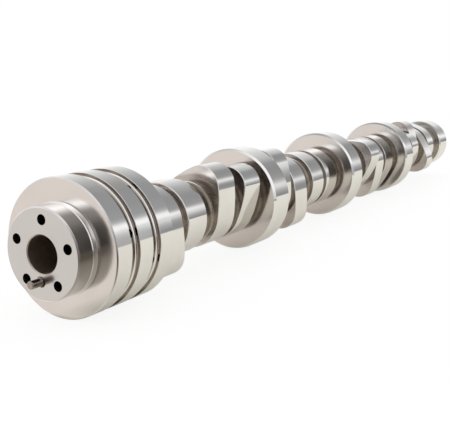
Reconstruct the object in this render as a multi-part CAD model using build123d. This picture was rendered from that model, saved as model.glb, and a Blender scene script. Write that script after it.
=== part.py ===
from build123d import *
from math import acos, cos, radians, sin, tan
import os

# Camshaft of a V8 pushrod engine. The shaft lies along +Y with its front end towards -Y and +Z up.
# The origin is on the shaft's axis, in the plane of the front journal's front face. Millimetres,
# and degrees measured anticlockwise from +X as seen from the front.

# journals
front_journal_d = 58.9
front_journal_len = 38.4
middle_journal_ds = (55.6, 55.2, 55.0)
middle_journal_len = 17.0
rear_journal_d = 41.8
rear_journal_len = 22.0
second_journal_y = 136.3         # front face of the second journal
journal_pitch = 113.3            # front face to front face, from the second journal on
rear_journal_set_back = 7.0      # how far the rear journal starts behind its pitch
front_chamfer = 0.5
journal_chamfer = 1.1

# shaft between the journals and the lobes
neck_depth = 3.6                 # below the lobes' base circle
rear_neck_depth = 0.8            # the neck ahead of the rear journal is thicker

# lathe centre in the rear face
centre_d = 9.0
centre_drill_d = 3.2
centre_drill_depth = 9.5
centre_angle = 60.0

# oil grooves of the front journal
groove_width = 5.1
groove_depth = 2.1
front_groove_y = 9.3             # front lip of each groove
rear_groove_y = 23.4
oil_hole_d = 3.4
oil_hole_count = 5
rear_oil_phase = -14.5

# pilot nose that carries the timing sprocket
pilot_d = 38.4
pilot_len = 10.4
pilot_edge = 0.6
relief_width = 2.4               # undercut at the root of the pilot
relief_depth = 1.1
relief_floor = 0.75
relief_wall = 0.65               # length along the shaft of the undercut's front wall
relief_flare = 0.45              # how far it opens out into the journal's face

# bolt bore down the pilot, with its threaded length drilled to the tap size
bolt_bore_d = 15.7
bolt_bore_depth = 44.0
bolt_tap_d = 10.2
bolt_tap_len = 24.0              # beyond the end of the bore
bolt_bore_edge = 0.4
drill_angle = 118.0

# oil ports in the pilot's face, each drilled back to a radial hole of the front groove
port_d = 4.4
port_shift = 0.575               # outwards from the middle of the pilot's wall
port_phase = 15.4
port_overrun = 1.0               # how far a port runs on past its radial hole

# dowel that times the sprocket
dowel_d = 3.5
dowel_press_d = 3.6              # the pressed end is a little thicker than the free end
dowel_len = 15.0
dowel_out = 6.1
dowel_edge = 0.5
dowel_lead = 0.6                 # taper from the free end's diameter to the pressed end's
dowel_wall = 1.6                  # metal left between the bolt bore and the dowel
dowel_phase = -95.8
dowel_hole_spare = 1.0           # air behind the dowel in its hole
dowel_sink = 0.55                # how far the countersunk mouth opens out round the dowel

# cam lobes: four tangent arcs each
base_d = 36.6
lobe_lift = 7.9
nose_r = 10.6
flank_r = 64.0
lobe_width = 16.0
lobe_offsets = (-34.45, -13.65, 12.55, 33.55)   # lobe centres from the middle of their bay

# cam timing. Cylinders are odd in one bank and even in the other, numbered from the front.
firing_order = (1, 8, 4, 3, 6, 5, 7, 2)
lobe_bank_even = (True, False, False, True)     # which bank each of the four lobes works
lobe_is_exhaust = (True, False, True, False)
bank_half_angle = 39.0           # lifter bores lean this far each side of the vertical
exhaust_event = 124.25           # cam degrees from firing to full lift
intake_event = 234.25
shaft_turn = 164.0
# how far single lobes, counted from the front, stand off this rule
lobe_trims = {1: 9.0, 2: -3.0, 3: 3.0, 11: 5.0, 14: -3.0}


# worked out from the sizes above
base_r = base_d / 2
front_r = front_journal_d / 2
front_hole_y = front_groove_y + groove_width / 2
rear_hole_y = rear_groove_y + groove_width / 2
port_place_r = (bolt_bore_d + pilot_d) / 4 + port_shift
dowel_place_r = (bolt_bore_d + dowel_press_d) / 2 + dowel_wall


def solid_of(shape):
    """The one solid of a fused or cut shape, as a plain Solid."""
    return shape.solids()[0]


def turned(outline):
    """Body of revolution about the shaft's axis, from (radius, y) corners."""
    return revolve(make_face(Polyline(*outline, close=True)), Axis.Y)


def groove_ring(start):
    """Ring that cuts one oil groove around the front journal, standing proud of its surface."""
    floor_r = front_r - groove_depth
    proud_r = front_r + groove_depth
    end = start + groove_width
    return turned([(floor_r, start), (proud_r, start), (proud_r, end), (floor_r, end)])


def blind_hole(diameter, depth, start):
    """Drilled hole along +Y from the given station, with the drill's cone at its end."""
    radius = diameter / 2
    end = start + depth
    tip = radius / tan(radians(drill_angle / 2))
    return turned([(0, start), (radius, start), (radius, end), (0, end + tip)])


def along_circle(shape, circle_r, phase, count=1):
    """Copies of a shape on the axis, set evenly on a circle around it."""
    places = []
    for index in range(count):
        angle = radians(phase + 360.0 / count * index)
        places.append(Pos(circle_r * cos(angle), 0, circle_r * sin(angle)) * shape)
    return places


def radial_holes(bottom_r, y, phase):
    """Oil holes drilled towards the axis from outside the front journal, down to bottom_r."""
    drill = Pos(bottom_r, y, 0) * Rot(0, 90, 0) * Cylinder(
        oil_hole_d / 2, front_r - bottom_r, align=(Align.CENTER, Align.CENTER, Align.MIN)
    )
    step = 360.0 / oil_hole_count
    return [Rot(0, -(phase + step * index), 0) * drill for index in range(oil_hole_count)]


def journal(diameter, start, length, edge):
    """Ground bearing band with chamfered rims."""
    radius = diameter / 2
    end = start + length
    return turned([
        (0, start),
        (radius - edge, start),
        (radius, start + edge),
        (radius, end - edge),
        (radius - edge, end),
        (0, end),
    ])


def pilot_nose():
    """Pilot in front of the first journal, with its undercut still to come."""
    radius = pilot_d / 2
    root = front_journal_len / 2
    return turned([
        (0, -pilot_len),
        (radius - pilot_edge, -pilot_len),
        (radius, -pilot_len + pilot_edge),
        (radius, root),
        (0, root),
    ])


def pilot_relief():
    """Ring that undercuts the corner of pilot and journal."""
    radius = pilot_d / 2
    floor_r = radius - relief_depth
    floor_start = relief_wall - relief_width
    return turned([
        (radius + relief_depth, -relief_width),
        (radius, -relief_width),
        (floor_r, floor_start),
        (floor_r, floor_start + relief_floor),
        (radius + relief_flare, 0),
        (radius + relief_depth, 0),
    ])


def lobe_outline():
    """Base circle, two flanks and nose of a lobe that points along local +X."""
    nose_x = base_r + lobe_lift - nose_r
    to_flank = flank_r - base_r
    nose_to_flank = flank_r - nose_r
    lean = acos((to_flank**2 + nose_x**2 - nose_to_flank**2) / (2 * to_flank * nose_x))
    centre = Vector(to_flank * cos(lean), to_flank * sin(lean))
    nose = Vector(nose_x, 0)
    base_point = centre.normalized() * -base_r
    nose_point = nose + (nose - centre).normalized() * nose_r
    half_way = ((base_point + nose_point) / 2 - centre).normalized() * flank_r + centre
    flank = ThreePointArc(base_point, half_way, nose_point)
    tip = ThreePointArc(nose_point, (nose_x + nose_r, 0), (nose_point.X, -nose_point.Y))
    base = ThreePointArc((base_point.X, -base_point.Y), (-base_r, 0), base_point)
    return make_face([flank, tip, mirror(flank, Plane.XZ), base])


def lobe(station, phase):
    """One cam lobe, its nose at the given angle, its middle at the given station."""
    front = Plane.XZ.offset(lobe_width / 2 - station)
    section = front * Rot(0, 0, phase) * lobe_outline()
    return extrude(section, amount=-lobe_width)


def lobe_phase(group, place):
    """Nose angle of a lobe: where its lifter is, turned back by when its valve opens."""
    even = lobe_bank_even[place]
    cylinder = 2 * group + (2 if even else 1)
    lifter = 90.0 - bank_half_angle if even else 90.0 + bank_half_angle
    fires_at = 360.0 / len(firing_order) * firing_order.index(cylinder)
    event = exhaust_event if lobe_is_exhaust[place] else intake_event
    lobe_number = len(lobe_offsets) * group + place + 1
    return lifter + fires_at + event + shaft_turn + lobe_trims.get(lobe_number, 0.0)


def neck(start, end, depth):
    """Plain shaft between two wider bands, run on inside both of them."""
    radius = base_r - depth
    inside = lobe_width / 2
    return turned([
        (0, start - inside),
        (radius, start - inside),
        (radius, end + inside),
        (0, end + inside),
    ])


def lathe_centre(face_y):
    """Centre hole in the rear face, drilled towards the front."""
    cone = (centre_d - centre_drill_d) / 2 / tan(radians(centre_angle / 2))
    return turned([
        (0, face_y),
        (centre_d / 2, face_y),
        (centre_drill_d / 2, face_y - cone),
        (centre_drill_d / 2, face_y - centre_drill_depth),
        (0, face_y - centre_drill_depth),
    ])


def bolt_bore():
    """Counterbored and tapped bolt hole down the pilot, its mouth lightly chamfered."""
    mouth = turned([
        (0, -pilot_len),
        (bolt_bore_d / 2 + bolt_bore_edge, -pilot_len),
        (bolt_bore_d / 2, -pilot_len + bolt_bore_edge),
        (0, -pilot_len + bolt_bore_edge),
    ])
    bore = blind_hole(bolt_bore_d, bolt_bore_depth, -pilot_len)
    return [mouth, bore, blind_hole(bolt_tap_d, bolt_bore_depth + bolt_tap_len, -pilot_len)]


def dowel_hole():
    """Hole for the dowel's pressed end, with a countersunk mouth."""
    radius = dowel_press_d / 2
    mouth = turned([
        (0, -pilot_len),
        (radius + dowel_sink, -pilot_len),
        (radius, -pilot_len + dowel_sink),
        (0, -pilot_len + dowel_sink),
    ])
    hole = blind_hole(dowel_press_d, dowel_len - dowel_out + dowel_hole_spare, -pilot_len)
    return hole + mouth


def journal_bands():
    """Start, length, diameter and rim chamfer of each journal, from the front."""
    pitches = [second_journal_y + journal_pitch * index for index in range(len(middle_journal_ds))]
    rear_start = second_journal_y + journal_pitch * len(middle_journal_ds) + rear_journal_set_back
    middle = [
        (start, middle_journal_len, diameter, journal_chamfer)
        for start, diameter in zip(pitches, middle_journal_ds)
    ]
    front = (0.0, front_journal_len, front_journal_d, front_chamfer)
    rear = (rear_start, rear_journal_len, rear_journal_d, journal_chamfer)
    return [front, *middle, rear]


def lobe_stations():
    """Middle station and nose angle of every lobe, from the front."""
    stations = []
    for group in range(len(firing_order) // 2):
        bay_end = second_journal_y + journal_pitch * group
        bay_middle = bay_end - (journal_pitch - middle_journal_len) / 2
        for place, offset in enumerate(lobe_offsets):
            stations.append((bay_middle + offset, lobe_phase(group, place)))
    return stations


def camshaft():
    """Whole shaft with its journals, lobes, grooves and drillings, in one piece."""
    journals = journal_bands()
    lobes = lobe_stations()
    rear_start, rear_length = journals[-1][:2]

    spans = [(start, start + length) for start, length, diameter, edge in journals]
    spans += [(station - lobe_width / 2, station + lobe_width / 2) for station, phase in lobes]
    spans.sort()
    body = pilot_nose()
    for ahead, behind in zip(spans, spans[1:]):
        if behind[0] > ahead[1]:
            depth = rear_neck_depth if behind[0] == rear_start else neck_depth
            body += neck(ahead[1], behind[0], depth)
    for start, length, diameter, edge in journals:
        body += journal(diameter, start, length, edge)
    for station, phase in lobes:
        body += lobe(station, phase)

    port_end = front_hole_y + port_overrun
    port = turned([(0, -pilot_len), (port_d / 2, -pilot_len), (port_d / 2, port_end), (0, port_end)])
    cuts = [
        pilot_relief(),
        groove_ring(front_groove_y),
        groove_ring(rear_groove_y),
        *bolt_bore(),
        *along_circle(port, port_place_r, port_phase, oil_hole_count),
        *radial_holes(port_place_r, front_hole_y, port_phase),
        *radial_holes(0, rear_hole_y, rear_oil_phase),
        *along_circle(dowel_hole(), dowel_place_r, dowel_phase),
        lathe_centre(rear_start + rear_length),
    ]
    return solid_of(body - cuts)


def dowel_pin():
    """Steel dowel, pressed into the pilot's face with its ground front end standing out."""
    free_r = dowel_d / 2
    press_r = dowel_press_d / 2
    front = -pilot_len - dowel_out
    rear = front + dowel_len
    pin = turned([
        (0, front),
        (free_r - dowel_edge, front),
        (free_r, front + dowel_edge),
        (free_r, -pilot_len - dowel_lead),
        (press_r, -pilot_len),
        (press_r, rear - dowel_edge),
        (press_r - dowel_edge, rear),
        (0, rear),
    ])
    return solid_of(along_circle(pin, dowel_place_r, dowel_phase)[0])


os.makedirs("parts", exist_ok=True)
export_step(camshaft(), "parts/camshaft.step")
export_step(dowel_pin(), "parts/dowel_pin.step")
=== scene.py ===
import math
import bmesh
import bpy
from mathutils import Matrix, Vector


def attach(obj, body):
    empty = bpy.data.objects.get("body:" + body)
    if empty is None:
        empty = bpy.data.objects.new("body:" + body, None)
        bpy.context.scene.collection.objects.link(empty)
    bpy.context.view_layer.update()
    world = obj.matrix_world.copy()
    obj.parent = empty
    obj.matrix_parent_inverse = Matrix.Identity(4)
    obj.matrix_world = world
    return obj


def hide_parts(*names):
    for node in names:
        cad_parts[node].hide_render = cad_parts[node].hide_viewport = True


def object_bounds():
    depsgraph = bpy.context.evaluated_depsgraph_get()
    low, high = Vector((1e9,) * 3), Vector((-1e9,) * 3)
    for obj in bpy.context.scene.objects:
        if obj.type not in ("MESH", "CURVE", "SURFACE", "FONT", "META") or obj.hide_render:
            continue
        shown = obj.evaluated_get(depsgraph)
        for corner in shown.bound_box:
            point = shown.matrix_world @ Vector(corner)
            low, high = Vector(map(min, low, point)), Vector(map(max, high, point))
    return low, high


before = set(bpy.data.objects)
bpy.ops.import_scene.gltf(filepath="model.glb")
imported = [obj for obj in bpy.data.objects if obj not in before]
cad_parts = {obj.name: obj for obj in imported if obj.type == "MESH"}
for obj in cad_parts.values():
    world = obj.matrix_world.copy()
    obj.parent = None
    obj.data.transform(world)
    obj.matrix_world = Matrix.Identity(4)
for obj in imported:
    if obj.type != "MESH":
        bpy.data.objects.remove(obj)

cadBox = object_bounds()
mm = 0.001
mergeWithin = 0.0005 * mm

# The shaft lies along +Y with its pilot nose towards -Y, and its axis is x = 0, z = 0.
# Sizes in the dictionaries are millimetres and degrees unless a note says otherwise.
# Angles run anticlockwise from +X as seen from the front.


def log(stage):
    print("stage:", stage)


# a value or colour travelling through a material; arithmetic on it adds Math nodes
class Wire:
    def __init__(self, graph, socket):
        self.graph = graph
        self.socket = socket

    def other(self, name):
        return Wire(self.graph, self.socket.node.outputs[name])

    def __add__(self, value):
        return self.graph.maths("ADD", self, value)

    __radd__ = __add__

    def __sub__(self, value):
        return self.graph.maths("SUBTRACT", self, value)

    def __rsub__(self, value):
        return self.graph.maths("SUBTRACT", value, self)

    def __mul__(self, value):
        return self.graph.maths("MULTIPLY", self, value)

    __rmul__ = __mul__

    def __truediv__(self, value):
        return self.graph.maths("DIVIDE", self, value)

    def __rtruediv__(self, value):
        return self.graph.maths("DIVIDE", value, self)

    # kept between 0 and 1
    def held(self):
        return self.graph.add("ShaderNodeClamp", {}, self)


# one material's nodes
class Graph:
    def __init__(self, tree):
        self.tree = tree
        tree.nodes.clear()

    # settings first, then the sockets in order and by name
    def add(self, kind, settings, *ordered, out=0, named=None):
        node = self.tree.nodes.new(kind)
        for key, value in settings.items():
            if key == "stops":
                setStops(node.color_ramp, value)
            else:
                setattr(node, key, value)
        for index, value in enumerate(ordered):
            self.feed(node.inputs[index], value)
        for key, value in (named or {}).items():
            self.feed(node.inputs[key], value)
        return Wire(self, node.outputs[out]) if node.outputs else None

    def feed(self, socket, value):
        if isinstance(value, Wire):
            self.tree.links.new(value.socket, socket)
        elif value is not None:
            socket.default_value = value

    def maths(self, operation, *values):
        return self.add("ShaderNodeMath", {"operation": operation}, *values)

    # by socket identifier, because a Mix node repeats its socket names for each data type
    def mixColour(self, factor, first, second):
        node = self.tree.nodes.new("ShaderNodeMix")
        node.data_type = "RGBA"
        inputs = {socket.identifier: socket for socket in node.inputs}
        self.feed(inputs["Factor_Float"], factor)
        self.feed(inputs["A_Color"], first)
        self.feed(inputs["B_Color"], second)
        outputs = {socket.identifier: socket for socket in node.outputs}
        return Wire(self, outputs["Result_Color"])


def setStops(ramp, stops):
    while len(ramp.elements) < len(stops):
        ramp.elements.new(1.0)
    for element, (place, colour) in zip(ramp.elements, stops):
        element.position = place
        element.color = (*colour, 1.0)


def newMaterial(name):
    material = bpy.data.materials.new(name)
    material.use_nodes = True
    return material, Graph(material.node_tree)


def newObject(name, bm):
    mesh = bpy.data.meshes.new(name)
    bm.to_mesh(mesh)
    bm.free()
    piece = bpy.data.objects.new(name, mesh)
    bpy.context.scene.collection.objects.link(piece)
    return piece


def grey(value):
    return (value, value, value, 1.0)


cameraSetup = {
    "place": (0.20992, -0.22292, 0.07303),  # metres
    "azimuth": 30.75,
    "elevation": 11.60,
    "lens": 61.06,
    "sensor": 36.0,
    "nearest": 0.01,             # metres
    "farthest": 50.0,
}


def makeCamera(setup):
    data = bpy.data.cameras.new("shaftCamera")
    data.lens = setup["lens"]
    data.sensor_width = setup["sensor"]
    data.clip_start = setup["nearest"]
    data.clip_end = setup["farthest"]
    camera = bpy.data.objects.new("shaftCamera", data)
    camera.location = setup["place"]
    tilt = math.radians(90.0 - setup["elevation"])
    camera.rotation_euler = (tilt, 0.0, math.radians(setup["azimuth"]))
    bpy.context.scene.collection.objects.link(camera)
    bpy.context.scene.camera = camera
    log("camera")


# Studio sizes are metres, and a brightness of 1 is white. A turn is how fast one tone gives way to the
# next, for each metre. The tent and the card are seen in the steel alone.
studio = {
    "roomLight": 0.95,
    "floorReach": 6.0,
    "floorGlow": 0.87,           # what the camera sees of the floor: a glow and a share of shade
    "floorShade": 0.15,
    "floorCream": (0.88, 0.853, 0.775, 1.0),    # what mirrors see of it
    "floorRosy": (0.93, 0.88, 0.84, 1.0),       # on the left of the shaft
    "rosyTurn": 100.0,
    "floorPaintedShade": (0.12, 0.102, 0.085, 1.0),      # painted shade on the right, ahead of the nose
    "dimAhead": 60.0,
    "dimAside": 60.0,
    "asideStart": 0.5,
    "dimBeyond": 4.5,
    "dimStart": 0.55,
    "creamGlow": 0.14,           # share of the mirrored floor that glows, so that no shadow falls on it
    "noseGlow": 0.80,            # and how much more of it does ahead of the nose
    "noseGlowTurn": 250.0,
    "cardFoot": ((-2.5, 0.42), (0.53, 0.42), (0.70, 0.29), (6.0, 0.29)),    # (y, x)
    "cardTop": 20.0,             # degrees round the shaft
    "tentRadius": 0.9,
    "tentFrom": -2.5,
    "tentTo": 6.0,
    "tentPanels": 64,
    "lowest": -12.0,             # degrees round the shaft that the tones cover
    "highest": 180.0,
    "neutralFrom": 0.5,          # tones darker than this lean towards their zone's tint
    # tones by the angle round the shaft; a zone takes over between two stations on the tent and the card
    "zones": (
        {"tent": (-3.0, -2.9), "card": (-3.0, -2.9), "dark": (1.0, 0.92, 0.80), "ramp": (
            (-12, 0.035), (0, 0.03), (18, 0.035), (40, 0.06), (55, 0.11), (70, 0.24), (98, 0.34), (110, 0.75),
            (120, 1.3), (130, 1.7), (145, 1.4), (160, 1.1), (180, 0.7))},
        {"tent": (-0.80, -0.74), "card": (-0.36, -0.31), "dark": (1.0, 1.0, 1.0), "ramp": (
            (-12, 0.50), (8, 0.80), (16, 1.0), (70, 1.0), (110, 0.85), (140, 1.0), (180, 1.0))},
        {"tent": (-0.08, 0.15), "card": (0.02, 0.06), "dark": (0.98, 1.0, 1.03), "ramp": (
            (-12, 0.45), (0, 0.46), (8, 0.50), (14, 0.62), (19, 0.82), (24, 1.05), (28, 1.0), (34, 0.50),
            (40, 0.36), (60, 0.325), (90, 0.325), (105, 0.37), (120, 0.486), (140, 0.66), (160, 0.83),
            (172, 0.97), (180, 1.0))},
        {"tent": (1.15, 1.7), "card": (0.518, 0.535), "dark": (0.98, 1.0, 1.03), "ramp": (
            (-12, 0.27), (0, 0.30), (8, 0.46), (16, 0.76), (22, 0.80), (28, 0.56), (36, 0.37), (46, 0.33),
            (60, 0.30), (78, 0.33), (95, 0.56), (120, 0.74), (150, 1.0), (180, 1.0))},
        {"tent": (2.9, 3.3), "card": (1.2, 1.35), "dark": (0.98, 1.0, 1.03), "ramp": (
            (-12, 0.26), (0, 0.28), (8, 0.42), (16, 0.85), (22, 1.0), (28, 0.90), (36, 0.62), (46, 0.46),
            (60, 0.42), (78, 0.55), (95, 0.80), (120, 0.9), (150, 1.0), (180, 1.0))},
    ),
}


# a card that only mirrors see
def mirroredOnly(piece):
    piece.visible_camera = False
    piece.visible_diffuse = False
    piece.visible_shadow = False
    piece.visible_transmission = False


# glowing cloth, its tone set by the angle round the shaft and the station along it
def makeCloth(setup, sheet):
    material, graph = newMaterial(sheet + "Cloth")
    place = graph.add("ShaderNodeSeparateXYZ", {}, graph.add("ShaderNodeTexCoord", {}, out="Object"))
    angle = graph.maths("ARCTAN2", place.other("Z"), place)
    low, high = setup["lowest"], setup["highest"]
    share = (angle * (180.0 / math.pi) - low) / (high - low)
    tone = None
    for zone in setup["zones"]:
        stops = []
        for turn, value in zone["ramp"]:
            neutral = min(value / setup["neutralFrom"], 1.0)
            colour = tuple(value * (part + (1.0 - part) * neutral) for part in zone["dark"])
            stops.append(((turn - low) / (high - low), colour))
        ramp = graph.add("ShaderNodeValToRGB", {"stops": stops}, share)
        start, stop = zone[sheet]
        fade = ((place.other("Y") - start) / (stop - start)).held()
        tone = graph.mixColour(fade, tone, ramp) if tone else ramp
    graph.add("ShaderNodeOutputMaterial", {}, graph.add("ShaderNodeEmission", {}, tone, 1.0))
    return material


# the floor is white to the camera and tinted to mirrors, where it shows the tones round the nose, with
# painted shade on its right ahead of the nose
def makeFloor(setup, height):
    bm = bmesh.new()
    bmesh.ops.create_grid(bm, x_segments=1, y_segments=1, size=setup["floorReach"])
    bmesh.ops.translate(bm, verts=bm.verts, vec=(0, 0, height))
    floor = newObject("floor", bm)
    material, graph = newMaterial("paleFloor")
    isCamera = graph.add("ShaderNodeLightPath", {}, out="Is Camera Ray")
    place = graph.add("ShaderNodeSeparateXYZ", {}, graph.add("ShaderNodeTexCoord", {}, out="Object"))
    # painted shade: mirrors see the floor darken on the right, ahead of the nose
    ahead = (place.other("Y") * -setup["dimAhead"]).held()
    aside = (place * setup["dimAside"] + setup["asideStart"]).held()
    beyond = (place * setup["dimBeyond"] + setup["dimStart"]).held()
    left = (place * -setup["rosyTurn"]).held()
    pale = graph.mixColour(left, setup["floorCream"], setup["floorRosy"])
    tone = graph.mixColour(ahead * aside * beyond, pale, setup["floorPaintedShade"])
    glow = graph.add("ShaderNodeEmission", {}, grey(1.0), setup["floorGlow"])
    shade = graph.add("ShaderNodeBsdfDiffuse", {}, grey(setup["floorShade"]))
    lit = (place.other("Y") * -setup["noseGlowTurn"]).held() * setup["noseGlow"] + setup["creamGlow"]
    matt = graph.add("ShaderNodeBsdfDiffuse", {}, tone)
    bright = graph.add("ShaderNodeEmission", {}, tone, 1.0)
    mirrored = graph.add("ShaderNodeMixShader", {}, lit, matt, bright)
    seen = graph.add("ShaderNodeAddShader", {}, glow, shade)
    graph.add("ShaderNodeOutputMaterial", {}, graph.add("ShaderNodeMixShader", {}, isCamera, mirrored, seen))
    floor.data.materials.append(material)


# a card standing on the floor beside the shaft, up to where the tent starts
def makeCard(setup, height):
    slope = math.tan(math.radians(setup["cardTop"]))
    bm = bmesh.new()
    foot = [bm.verts.new((x, y, height)) for y, x in setup["cardFoot"]]
    head = [bm.verts.new((x, y, x * slope)) for y, x in setup["cardFoot"]]
    for index in range(len(foot) - 1):
        bm.faces.new((foot[index], foot[index + 1], head[index + 1], head[index]))
    card = newObject("sideCard", bm)
    card.data.materials.append(makeCloth(setup, "card"))
    mirroredOnly(card)


# an arched tent over the shaft, from the card's top round to the floor on the left
def makeTent(setup):
    start = math.radians(setup["cardTop"])
    x = setup["tentRadius"] * math.cos(start)
    z = setup["tentRadius"] * math.sin(start)
    bm = bmesh.new()
    rim = [bm.verts.new((x, y, z)) for y in (setup["tentFrom"], setup["tentTo"])]
    bmesh.ops.spin(
        bm, geom=[*rim, bm.edges.new(rim)], cent=(0, 0, 0), axis=(0, -1, 0),
        angle=math.radians(setup["highest"]) - start, steps=setup["tentPanels"],
    )
    tent = newObject("tent", bm)
    tent.data.materials.append(makeCloth(setup, "tent"))
    mirroredOnly(tent)


def makeWorld(setup):
    world = bpy.data.worlds.new("softWhite")
    world.use_nodes = True
    graph = Graph(world.node_tree)
    rays = graph.add("ShaderNodeLightPath", {}, out="Is Camera Ray")
    mirrored = graph.maths("MAXIMUM", rays.other("Is Glossy Ray"), rays.other("Is Transmission Ray"))
    plain = graph.maths("MAXIMUM", rays, mirrored)
    room = graph.mixColour(plain, grey(setup["roomLight"]), grey(1.0))
    graph.add("ShaderNodeOutputWorld", {}, graph.add("ShaderNodeBackground", {}, room, 1.0))
    bpy.context.scene.world = world


shaftSizes = {
    "steps": 288,                # facets round the shaft
    "frontJournal": 29.45,       # radii
    "middleJournals": (27.8, 27.6, 27.5),
    "rearJournal": 20.9,
    "baseCircle": 18.3,
    "neck": 14.7,
    "rearNeck": 17.5,
    "frontLength": 38.4,
    "middleLength": 17.0,
    "rearLength": 22.0,
    "secondStart": 136.3,
    "pitch": 113.3,
    "rearSetBack": 7.0,
    "frontChamfer": 0.5,
    "chamfer": 1.1,
    "neckFillet": 1.2,
    "filletSteps": 4,
    "rimBreak": 0.3,             # edge break on the cam lobes
    "grindSlack": 0.01,
    "sharpFrom": 26.0,           # edges that turn by more are drawn sharp
}

noseSizes = {
    "pilot": 19.2,
    "pilotLength": 10.4,
    "pilotEdge": 0.6,
    "reliefFront": -2.4,         # undercut at the root of the pilot
    "reliefFloor": 18.1,
    "reliefRound": 0.75,         # its rounding, as a share of its depth
    "reliefShift": 0.1,
    "reliefFrom": 245,           # degrees
    "reliefTo": 115,
    "reliefSteps": 6,
    "reliefFlare": 0.45,         # how far it opens out into the journal's face
    "bore": 7.85,
    "boreDepth": 44.0,
    "boreEdge": 0.4,
    "tap": 5.1,                  # the narrower hole behind the bore
    "tapLength": 24.0,
    "drillHalfAngle": 59.0,
}

grooveSizes = {
    "starts": (9.3, 23.4),       # front lip of each oil groove
    "width": 5.1,
    "depth": 2.1,
    "lip": 0.15,                 # edge break
    "corner": 1.0,               # radius at the floor
    "cornerSteps": 4,
}

# the lathe centre in the rear face
centreSizes = {
    "mouth": 4.5,
    "drill": 1.6,
    "depth": 9.5,
    "halfAngle": 30.0,
}

lobeSizes = {
    "lift": 7.9,
    "nose": 10.6,                # radius
    "flank": 64.0,               # radius
    "width": 16.0,
    "offsets": (-34.45, -13.65, 12.55, 33.55),   # from the middle of the bay
    # where each nose points, from the front
    "angles": (303, 164, 60, 44, 69, 302, 192, 179, 159, 32, 287, 269, 24, 74, 327, 134),
}


# points on an arc, as (radius, station)
def arc(radius, station, size, fromAngle, toAngle, steps):
    points = []
    for index in range(steps + 1):
        turn = math.radians(fromAngle + (toAngle - fromAngle) * index / steps)
        points.append((radius + size * math.cos(turn), station + size * math.sin(turn)))
    return points


def boreProfile(sizes):
    slope = math.tan(math.radians(sizes["drillHalfAngle"]))
    front = -sizes["pilotLength"]
    boreEnd = front + sizes["boreDepth"]
    tapEnd = boreEnd + sizes["tapLength"]
    return [
        (0.0, tapEnd + sizes["tap"] / slope),
        (sizes["tap"], tapEnd),
        (sizes["tap"], boreEnd + (sizes["bore"] - sizes["tap"]) / slope),
        (sizes["bore"], boreEnd),
        (sizes["bore"], front + sizes["boreEdge"]),
        (sizes["bore"] + sizes["boreEdge"], front),
    ]


def pilotProfile(sizes):
    front = -sizes["pilotLength"]
    floor = sizes["reliefFloor"]
    size = (sizes["pilot"] - floor) * sizes["reliefRound"]
    middle = sizes["reliefFront"] / 2 - sizes["reliefShift"]
    return [
        (sizes["pilot"] - sizes["pilotEdge"], front),
        (sizes["pilot"], front + sizes["pilotEdge"]),
        (sizes["pilot"], sizes["reliefFront"]),
        *arc(floor + size, middle, size, sizes["reliefFrom"], sizes["reliefTo"], sizes["reliefSteps"]),
        (sizes["pilot"] + sizes["reliefFlare"], 0.0),
    ]


def grooveProfile(sizes, start, surface):
    floor = surface - sizes["depth"]
    end = start + sizes["width"]
    lip, corner = sizes["lip"], sizes["corner"]
    return [
        (surface, start - lip),
        (surface - lip, start),
        *arc(floor + corner, start + corner, corner, 270, 180, sizes["cornerSteps"]),
        *arc(floor + corner, end - corner, corner, 180, 90, sizes["cornerSteps"]),
        (surface - lip, end),
        (surface, end + lip),
    ]


# the fillet at the foot of a face, on its way from the face or to it
def fromFace(radius, face, size, steps):
    return arc(radius + size, face + size, size, 270, 180, steps)


def toFace(radius, face, size, steps):
    return arc(radius + size, face - size, size, 180, 90, steps)


def band(radius, start, end, edge):
    return [(radius - edge, start), (radius, start + edge), (radius, end - edge), (radius - edge, end)]


# every raised band behind the front journal: start, end, radius, edge and lobe angle
def raisedBands(sizes, lobes):
    bands = []
    half = lobes["width"] / 2
    count = len(lobes["offsets"])
    bays = len(lobes["angles"]) // count
    for bay in range(bays):
        bayEnd = sizes["secondStart"] + sizes["pitch"] * bay
        bayMiddle = bayEnd - (sizes["pitch"] - sizes["middleLength"]) / 2
        for offset, angle in zip(lobes["offsets"], lobes["angles"][bay * count:]):
            middle = bayMiddle + offset
            bands.append((middle - half, middle + half, sizes["baseCircle"], sizes["rimBreak"], angle))
        if bay < bays - 1:
            radius = sizes["middleJournals"][bay]
            bands.append((bayEnd, bayEnd + sizes["middleLength"], radius, sizes["chamfer"], None))
    rear = bayEnd + sizes["rearSetBack"]
    bands.append((rear, rear + sizes["rearLength"], sizes["rearJournal"], sizes["chamfer"], None))
    return bands


def rearProfile(sizes, face):
    cone = (sizes["mouth"] - sizes["drill"]) / math.tan(math.radians(sizes["halfAngle"]))
    return [
        (sizes["mouth"], face),
        (sizes["drill"], face - cone),
        (sizes["drill"], face - sizes["depth"]),
        (0.0, face - sizes["depth"]),
    ]


def shaftProfile(bands):
    sizes = shaftSizes
    front = sizes["frontJournal"]
    edge = sizes["frontChamfer"]
    end = sizes["frontLength"]
    points = [*boreProfile(noseSizes), *pilotProfile(noseSizes), (front - edge, 0.0), (front, edge)]
    for start in grooveSizes["starts"]:
        points += grooveProfile(grooveSizes, start, front)
    points += [(front, end - edge), (front - edge, end)]
    face = end
    for start, stop, radius, rim, _ in bands:
        last = start == bands[-1][0]
        neck = sizes["rearNeck"] if last else sizes["neck"]
        fillet = sizes["rimBreak"] if last else sizes["neckFillet"]
        points += fromFace(neck, face, fillet, sizes["filletSteps"])
        points += toFace(neck, start, fillet, sizes["filletSteps"])
        points += band(radius, start, stop, rim)
        face = stop
    return points + rearProfile(centreSizes, face)


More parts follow.
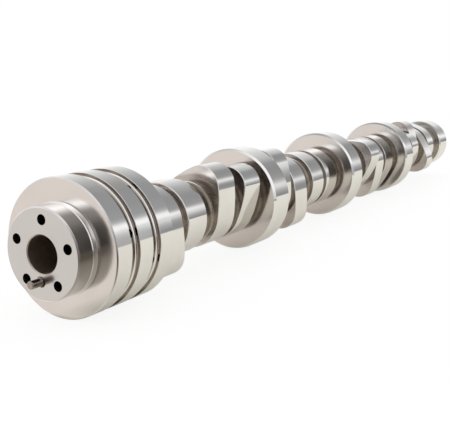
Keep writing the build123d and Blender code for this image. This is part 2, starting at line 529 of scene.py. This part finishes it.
# turns a line of (radius, station) points into a closed solid
def turnBlank(points, steps):
    bm = bmesh.new()
    verts = [bm.verts.new((radius * mm, station * mm, 0.0)) for radius, station in points]
    edges = [bm.edges.new(pair) for pair in zip(verts, verts[1:])]
    bmesh.ops.spin(
        bm, geom=[*verts, *edges], cent=(0, 0, 0), axis=(0, -1, 0),
        angle=math.tau, steps=steps, use_merge=True,
    )
    bmesh.ops.remove_doubles(bm, verts=bm.verts, dist=mergeWithin)
    bmesh.ops.recalc_face_normals(bm, faces=bm.faces)
    return bm


# how far a lobe's outline stands out at an angle from its nose, in millimetres
def lobeReach(angle):
    base = shaftSizes["baseCircle"]
    noseCentre = base + lobeSizes["lift"] - lobeSizes["nose"]
    toFlank = lobeSizes["flank"] - base
    noseToFlank = lobeSizes["flank"] - lobeSizes["nose"]
    lean = math.acos((toFlank**2 + noseCentre**2 - noseToFlank**2) / (2 * toFlank * noseCentre))
    turn = abs(math.remainder(angle, math.tau))
    if turn > math.pi - lean:
        return base
    flankX, flankY = toFlank * math.cos(lean), -toFlank * math.sin(lean)
    noseTip = math.atan2(-flankY / noseToFlank, (noseCentre - flankX) / noseToFlank)
    edgeX = noseCentre + lobeSizes["nose"] * math.cos(noseTip)
    edgeY = lobeSizes["nose"] * math.sin(noseTip)
    if turn < math.atan2(edgeY, edgeX):
        centreX, centreY, size = noseCentre, 0.0, lobeSizes["nose"]
    else:
        centreX, centreY, size = flankX, flankY, lobeSizes["flank"]
    along = centreX * math.cos(turn) + centreY * math.sin(turn)
    return along + math.sqrt(along**2 - centreX**2 - centreY**2 + size**2)


# pushes the rims of the blank's lobe bands out to the cam outline
def grindLobes(bm, bands):
    base = shaftSizes["baseCircle"]
    tall = (base - 2 * shaftSizes["rimBreak"]) * mm
    slack = shaftSizes["grindSlack"] * mm
    for start, stop, _, _, angle in bands:
        if angle is None:
            continue
        for vert in bm.verts:
            reach = math.hypot(vert.co.x, vert.co.z)
            if reach > tall and start * mm - slack <= vert.co.y <= stop * mm + slack:
                turn = math.atan2(vert.co.z, vert.co.x) - math.radians(angle)
                grown = reach + (lobeReach(turn) - base) * mm
                vert.co.x *= grown / reach
                vert.co.z *= grown / reach


drillings = {
    "steps": 48,
    "portRadius": 2.2,           # oil ports in the pilot's face
    "portPlace": 14.1,           # distance from the axis
    "portPhase": 15.4,
    "portCount": 5,
    "portOverrun": 1.0,          # past the oil hole
    "oilRadius": 1.7,            # oil holes in the grooves
    "rearOilPhase": -14.5,
    "dowelHole": 1.8,            # radius, and its distance from the axis
    "dowelPlace": 11.25,
    "dowelPhase": -95.8,
    "dowelHoleDepth": 9.9,
    "dowelSink": 0.55,           # how far the mouth opens out
    "sinkSpare": 0.1,
    "spare": 3.0,                # how far a drill starts outside the metal
    "rearOilFrom": 6.0,          # inside the bolt bore
}


# adds a round cutter that runs from one point to another, in millimetres
def drill(bm, radius, start, end):
    axis = end - start
    made = bmesh.ops.create_cone(
        bm, cap_ends=True, cap_tris=False, segments=drillings["steps"],
        radius1=radius * mm, radius2=radius * mm, depth=axis.length * mm,
    )["verts"]
    turn = axis.to_track_quat("Z", "Y").to_matrix()
    bmesh.ops.rotate(bm, verts=made, cent=(0, 0, 0), matrix=turn)
    bmesh.ops.translate(bm, verts=made, vec=(start + end) / 2 * mm)


# a point at an angle round the shaft, in millimetres
def roundShaft(reach, angle, y):
    return Vector((reach * math.cos(angle), y, reach * math.sin(angle)))


def portDrills():
    bm = bmesh.new()
    front = -noseSizes["pilotLength"]
    groove = grooveSizes["starts"][0] + grooveSizes["width"] / 2
    for index in range(drillings["portCount"]):
        angle = math.radians(drillings["portPhase"] + 360.0 / drillings["portCount"] * index)
        mouth = roundShaft(drillings["portPlace"], angle, front - drillings["spare"])
        bottom = roundShaft(drillings["portPlace"], angle, groove + drillings["portOverrun"])
        drill(bm, drillings["portRadius"], mouth, bottom)
    angle = math.radians(drillings["dowelPhase"])
    mouth = roundShaft(drillings["dowelPlace"], angle, front - drillings["spare"])
    bottom = roundShaft(drillings["dowelPlace"], angle, front + drillings["dowelHoleDepth"])
    drill(bm, drillings["dowelHole"], mouth, bottom)
    return newObject("portDrills", bm)


# the cone that opens out the mouth of the dowel's hole
def sinkDrill():
    bm = bmesh.new()
    hole, sink, spare = drillings["dowelHole"], drillings["dowelSink"], drillings["sinkSpare"]
    made = bmesh.ops.create_cone(
        bm, cap_ends=True, cap_tris=False, segments=drillings["steps"],
        radius1=(hole + sink + spare) * mm, radius2=(hole - spare) * mm, depth=(sink + 2 * spare) * mm,
    )["verts"]
    bmesh.ops.rotate(bm, verts=made, cent=(0, 0, 0), matrix=Matrix.Rotation(-math.pi / 2, 3, "X"))
    middle = -noseSizes["pilotLength"] + sink / 2
    place = roundShaft(drillings["dowelPlace"], math.radians(drillings["dowelPhase"]), middle)
    bmesh.ops.translate(bm, verts=made, vec=place * mm)
    return newObject("sinkDrill", bm)


def oilDrills():
    bm = bmesh.new()
    outside = shaftSizes["frontJournal"] + drillings["spare"]
    rows = (
        (grooveSizes["starts"][0], drillings["portPlace"], drillings["portPhase"]),
        (grooveSizes["starts"][1], drillings["rearOilFrom"], drillings["rearOilPhase"]),
    )
    for start, inner, phase in rows:
        y = start + grooveSizes["width"] / 2    # the middle of the groove
        for index in range(drillings["portCount"]):
            angle = math.radians(phase + 360.0 / drillings["portCount"] * index)
            drill(bm, drillings["oilRadius"], roundShaft(outside, angle, y), roundShaft(inner, angle, y))
    return newObject("oilDrills", bm)


# takes the cutters out of a piece, and deletes them
def cutWith(piece, tool):
    cut = piece.modifiers.new("drilling", "BOOLEAN")
    cut.operation = "DIFFERENCE"
    cut.solver = "EXACT"
    cut.object = tool
    cut.material_mode = "INDEX"
    bpy.context.view_layer.update()
    evaluated = piece.evaluated_get(bpy.context.evaluated_depsgraph_get())
    mesh = bpy.data.meshes.new_from_object(evaluated)
    piece.modifiers.clear()
    old = piece.data
    piece.data = mesh
    bpy.data.meshes.remove(old)
    bpy.data.objects.remove(tool)


# Which finish each face of the shaft has, by where it is and how it faces; the neck, wall and hole finishes
# also carry painted shade.
# A flat face looks along the shaft, and "outward" is how squarely a face looks away from the axis.
finishesAndShade = ("ground", "turned", "nose", "neck", "groove", "wall", "bore", "hole", "edge")
finishRules = {
    "flat": 0.95,
    "drilled": 0.3,              # less outward than this is the wall of a drilling
    "round": 0.95,
    "lobeRound": 0.8,
    "reliefRim": 0.35,
    "slack": 0.5,
    "nearAxis": 0.001,
}


def finishOf(face, bands):
    rules = finishRules
    centre = face.calc_center_median() / mm
    reach = math.hypot(centre.x, centre.z)
    outward = (face.normal.x * centre.x + face.normal.z * centre.z) / max(reach, rules["nearAxis"])
    if reach < noseSizes["bore"] + noseSizes["boreEdge"] and centre.y < noseSizes["boreDepth"]:
        return "bore"
    if abs(face.normal.y) > rules["flat"]:
        if grooveSizes["starts"][0] - rules["slack"] < centre.y < shaftSizes["frontLength"] - rules["slack"]:
            return "wall"
        return "nose" if centre.y < rules["slack"] - noseSizes["pilotLength"] else "turned"
    if outward < rules["drilled"]:
        return "hole"
    if centre.y < shaftSizes["frontLength"]:
        floor = shaftSizes["frontJournal"] - grooveSizes["depth"] + grooveSizes["corner"]
        if centre.y < 0.0:
            floor = noseSizes["pilot"] - rules["reliefRim"]
        if reach < floor:
            return "groove"
        return "ground" if outward > rules["round"] else "edge"
    for start, stop, _, rim, angle in bands:
        if start <= centre.y <= stop:
            ground = angle is None or (
                outward > rules["lobeRound"] and centre.y - start > rim and stop - centre.y > rim)
            return "ground" if ground else "edge"
    return "neck"


def makeShaft(looks):
    bands = raisedBands(shaftSizes, lobeSizes)
    bm = turnBlank(shaftProfile(bands), shaftSizes["steps"])
    grindLobes(bm, bands)
    shaft = newObject("camshaft_finished", bm)
    cutWith(shaft, portDrills())
    cutWith(shaft, sinkDrill())
    cutWith(shaft, oilDrills())
    log("shaft turned, ground and drilled")
    bm = bmesh.new()
    bm.from_mesh(shaft.data)
    bmesh.ops.remove_doubles(bm, verts=bm.verts, dist=mergeWithin)
    for face in bm.faces:
        face.smooth = True
        face.material_index = finishesAndShade.index(finishOf(face, bands))
    bm.to_mesh(shaft.data)
    bm.free()
    for name in finishesAndShade:
        shaft.data.materials.append(looks[name])
    shaft.data.set_sharp_from_angle(angle=math.radians(shaftSizes["sharpFrom"]))
    log("finishes given to the shaft's faces")
    shading = shaft.modifiers.new("evenShading", "WEIGHTED_NORMAL")
    shading.keep_sharp = True
    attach(shaft, "root")
    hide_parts("camshaft")


dowelSizes = {
    "steps": 64,
    "free": 1.75,                # radius of the end that stands out
    "press": 1.8,                # and of the end in the hole
    "front": -16.5,
    "rear": -1.5,
    "edge": 0.5,
    "edgeSteps": 5,
    "lead": 0.6,                 # taper from one radius to the other
    "sharpFrom": 40.0,
}


def makeDowel(looks):
    face = -noseSizes["pilotLength"]
    free, press, edge = dowelSizes["free"], dowelSizes["press"], dowelSizes["edge"]
    front, rear = dowelSizes["front"], dowelSizes["rear"]
    points = [
        (0.0, front),
        *arc(free - edge, front + edge, edge, 270, 360, dowelSizes["edgeSteps"]),
        (free, face - dowelSizes["lead"]),
        (press, face),
        (press, rear - edge),
        (press - edge, rear),
        (0.0, rear),
    ]
    bm = turnBlank(points, dowelSizes["steps"])
    angle = math.radians(drillings["dowelPhase"])
    bmesh.ops.translate(bm, verts=bm.verts, vec=roundShaft(drillings["dowelPlace"], angle, 0.0) * mm)
    for face in bm.faces:
        face.smooth = True
    dowel = newObject("dowel_pin_finished", bm)
    dowel.data.set_sharp_from_angle(angle=math.radians(dowelSizes["sharpFrom"]))
    dowel.data.materials.append(looks["dowel"])
    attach(dowel, "root")
    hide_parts("dowel_pin")
    log("dowel pin")


# "lines" is how far apart the tool's lines are and "depth" how deep, both in millimetres. They run round the
# shaft, set out along it on its round faces and across it on its flat ones.
steelLooks = {
    "ground": {"tint": (0.88, 0.88, 0.875), "stain": (0.85, 0.83, 0.81), "rough": 0.06, "roughVary": 0.04,
               "lines": 0.35, "depth": 0.0009, "mode": "along"},
    "turned": {"tint": (0.74, 0.705, 0.68), "stain": (0.71, 0.675, 0.65), "rough": 0.15, "roughVary": 0.05,
               "lines": 0.40, "depth": 0.0014, "mode": "across"},
    "nose": {"tint": (0.64, 0.63, 0.62), "stain": (0.62, 0.605, 0.595), "rough": 0.19, "roughVary": 0.05,
             "lines": 0.40, "depth": 0.0012, "mode": "across"},
    # the necks' dark brown is partly their own heat tint and partly painted shade in the crevices between
    # lobes and journals
    "neck": {"tint": (0.36, 0.325, 0.275), "stain": (0.30, 0.26, 0.215), "rough": 0.24, "roughVary": 0.1,
             "lines": 0.45, "depth": 0.004, "mode": "along"},
    "groove": {"tint": (0.90, 0.88, 0.855), "stain": (0.84, 0.81, 0.78), "rough": 0.13, "roughVary": 0.03,
               "lines": 1.2, "depth": 0.0006, "mode": "along"},
    # the groove walls' dark tint is painted shade inside the oil grooves
    "wall": {"tint": (0.50, 0.45, 0.41), "stain": (0.45, 0.41, 0.37), "rough": 0.14, "roughVary": 0.04,
             "lines": 0.5, "depth": 0.0005, "mode": "across"},
    "bore": {"tint": (0.66, 0.58, 0.52), "stain": (0.52, 0.45, 0.40), "rough": 0.38, "roughVary": 0.1,
             "lines": 0.5, "depth": 0.006, "mode": "along"},
    # the drillings' dark tint is painted shade inside the holes
    "hole": {"tint": (0.28, 0.25, 0.22), "stain": (0.22, 0.20, 0.17), "rough": 0.30, "roughVary": 0.1,
             "lines": 0.5, "depth": 0.006, "mode": "along"},
    "edge": {"tint": (0.80, 0.77, 0.77), "stain": (0.76, 0.73, 0.73), "rough": 0.22, "roughVary": 0.04,
             "lines": 0.3, "depth": 0.0006, "mode": "along"},
    "dowel": {"tint": (0.38, 0.33, 0.30), "stain": (0.30, 0.26, 0.24), "rough": 0.20, "roughVary": 0.08,
              "lines": 0.3, "depth": 0.002, "mode": "along"},
}

# what all the steels share
steelPattern = {
    "swing": 1.3,                # how much the lines change on their way round
    "lineDetail": 2.0,
    "lineRoughness": 0.6,
    "clouds": 55.0,              # faint stains
    "cloudDetail": 3.0,
    "cloudRoughness": 0.55,
    "stainFrom": 0.42,
    "stainTo": 0.66,
    "stainShare": 0.8,
    "lineShare": 0.2,
    "stainRough": 0.5,
}


def makeSteel(name, look, pattern):
    material, graph = newMaterial(name + "Steel")
    place = graph.add("ShaderNodeTexCoord", {}, out="Object")
    x = graph.add("ShaderNodeSeparateXYZ", {}, place)   # its first output is X
    y, z = x.other("Y"), x.other("Z")
    turn = graph.maths("ARCTAN2", z, x)
    reach = graph.maths("SQRT", x * x + z * z)
    across = y if look["mode"] == "along" else reach
    around = graph.add(
        "ShaderNodeCombineXYZ", {},
        across / (look["lines"] * mm),
        graph.maths("COSINE", turn) * pattern["swing"],
        graph.maths("SINE", turn) * pattern["swing"],
    )
    lines = graph.add("ShaderNodeTexNoise", {"noise_dimensions": "3D"}, named={
        "Vector": around, "Scale": 1.0,
        "Detail": pattern["lineDetail"], "Roughness": pattern["lineRoughness"]})
    cloud = graph.add("ShaderNodeTexNoise", {"noise_dimensions": "3D"}, named={
        "Vector": place, "Scale": pattern["clouds"],
        "Detail": pattern["cloudDetail"], "Roughness": pattern["cloudRoughness"]})
    patches = graph.add("ShaderNodeMapRange", {}, cloud, pattern["stainFrom"], pattern["stainTo"], 0.0, 1.0)
    stained = patches * pattern["stainShare"] + lines * pattern["lineShare"]
    tint = graph.mixColour(stained, (*look["tint"], 1.0), (*look["stain"], 1.0))
    vary = look["roughVary"]
    rough = look["rough"] + (lines - 0.5) * vary + patches * (vary * pattern["stainRough"])
    bump = graph.add("ShaderNodeBump", {}, named={
        "Strength": 1.0, "Distance": look["depth"] * mm, "Height": lines})
    shader = graph.add("ShaderNodeBsdfPrincipled", {}, named={
        "Base Color": tint, "Metallic": 1.0, "Roughness": rough, "Normal": bump})
    graph.add("ShaderNodeOutputMaterial", {}, shader)
    return material


def makeFinishes():
    looks = {name: makeSteel(name, look, steelPattern) for name, look in steelLooks.items()}
    log("finishesAndShade")
    return looks


bpy.context.scene.view_settings.view_transform = "Standard"
floorHeight = cadBox[0].z
makeCamera(cameraSetup)
makeWorld(studio)
makeFloor(studio, floorHeight)
makeCard(studio, floorHeight)
makeTent(studio)
log("studio")
steels = makeFinishes()
makeShaft(steels)
makeDowel(steels)

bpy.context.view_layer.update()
log("sizes written")
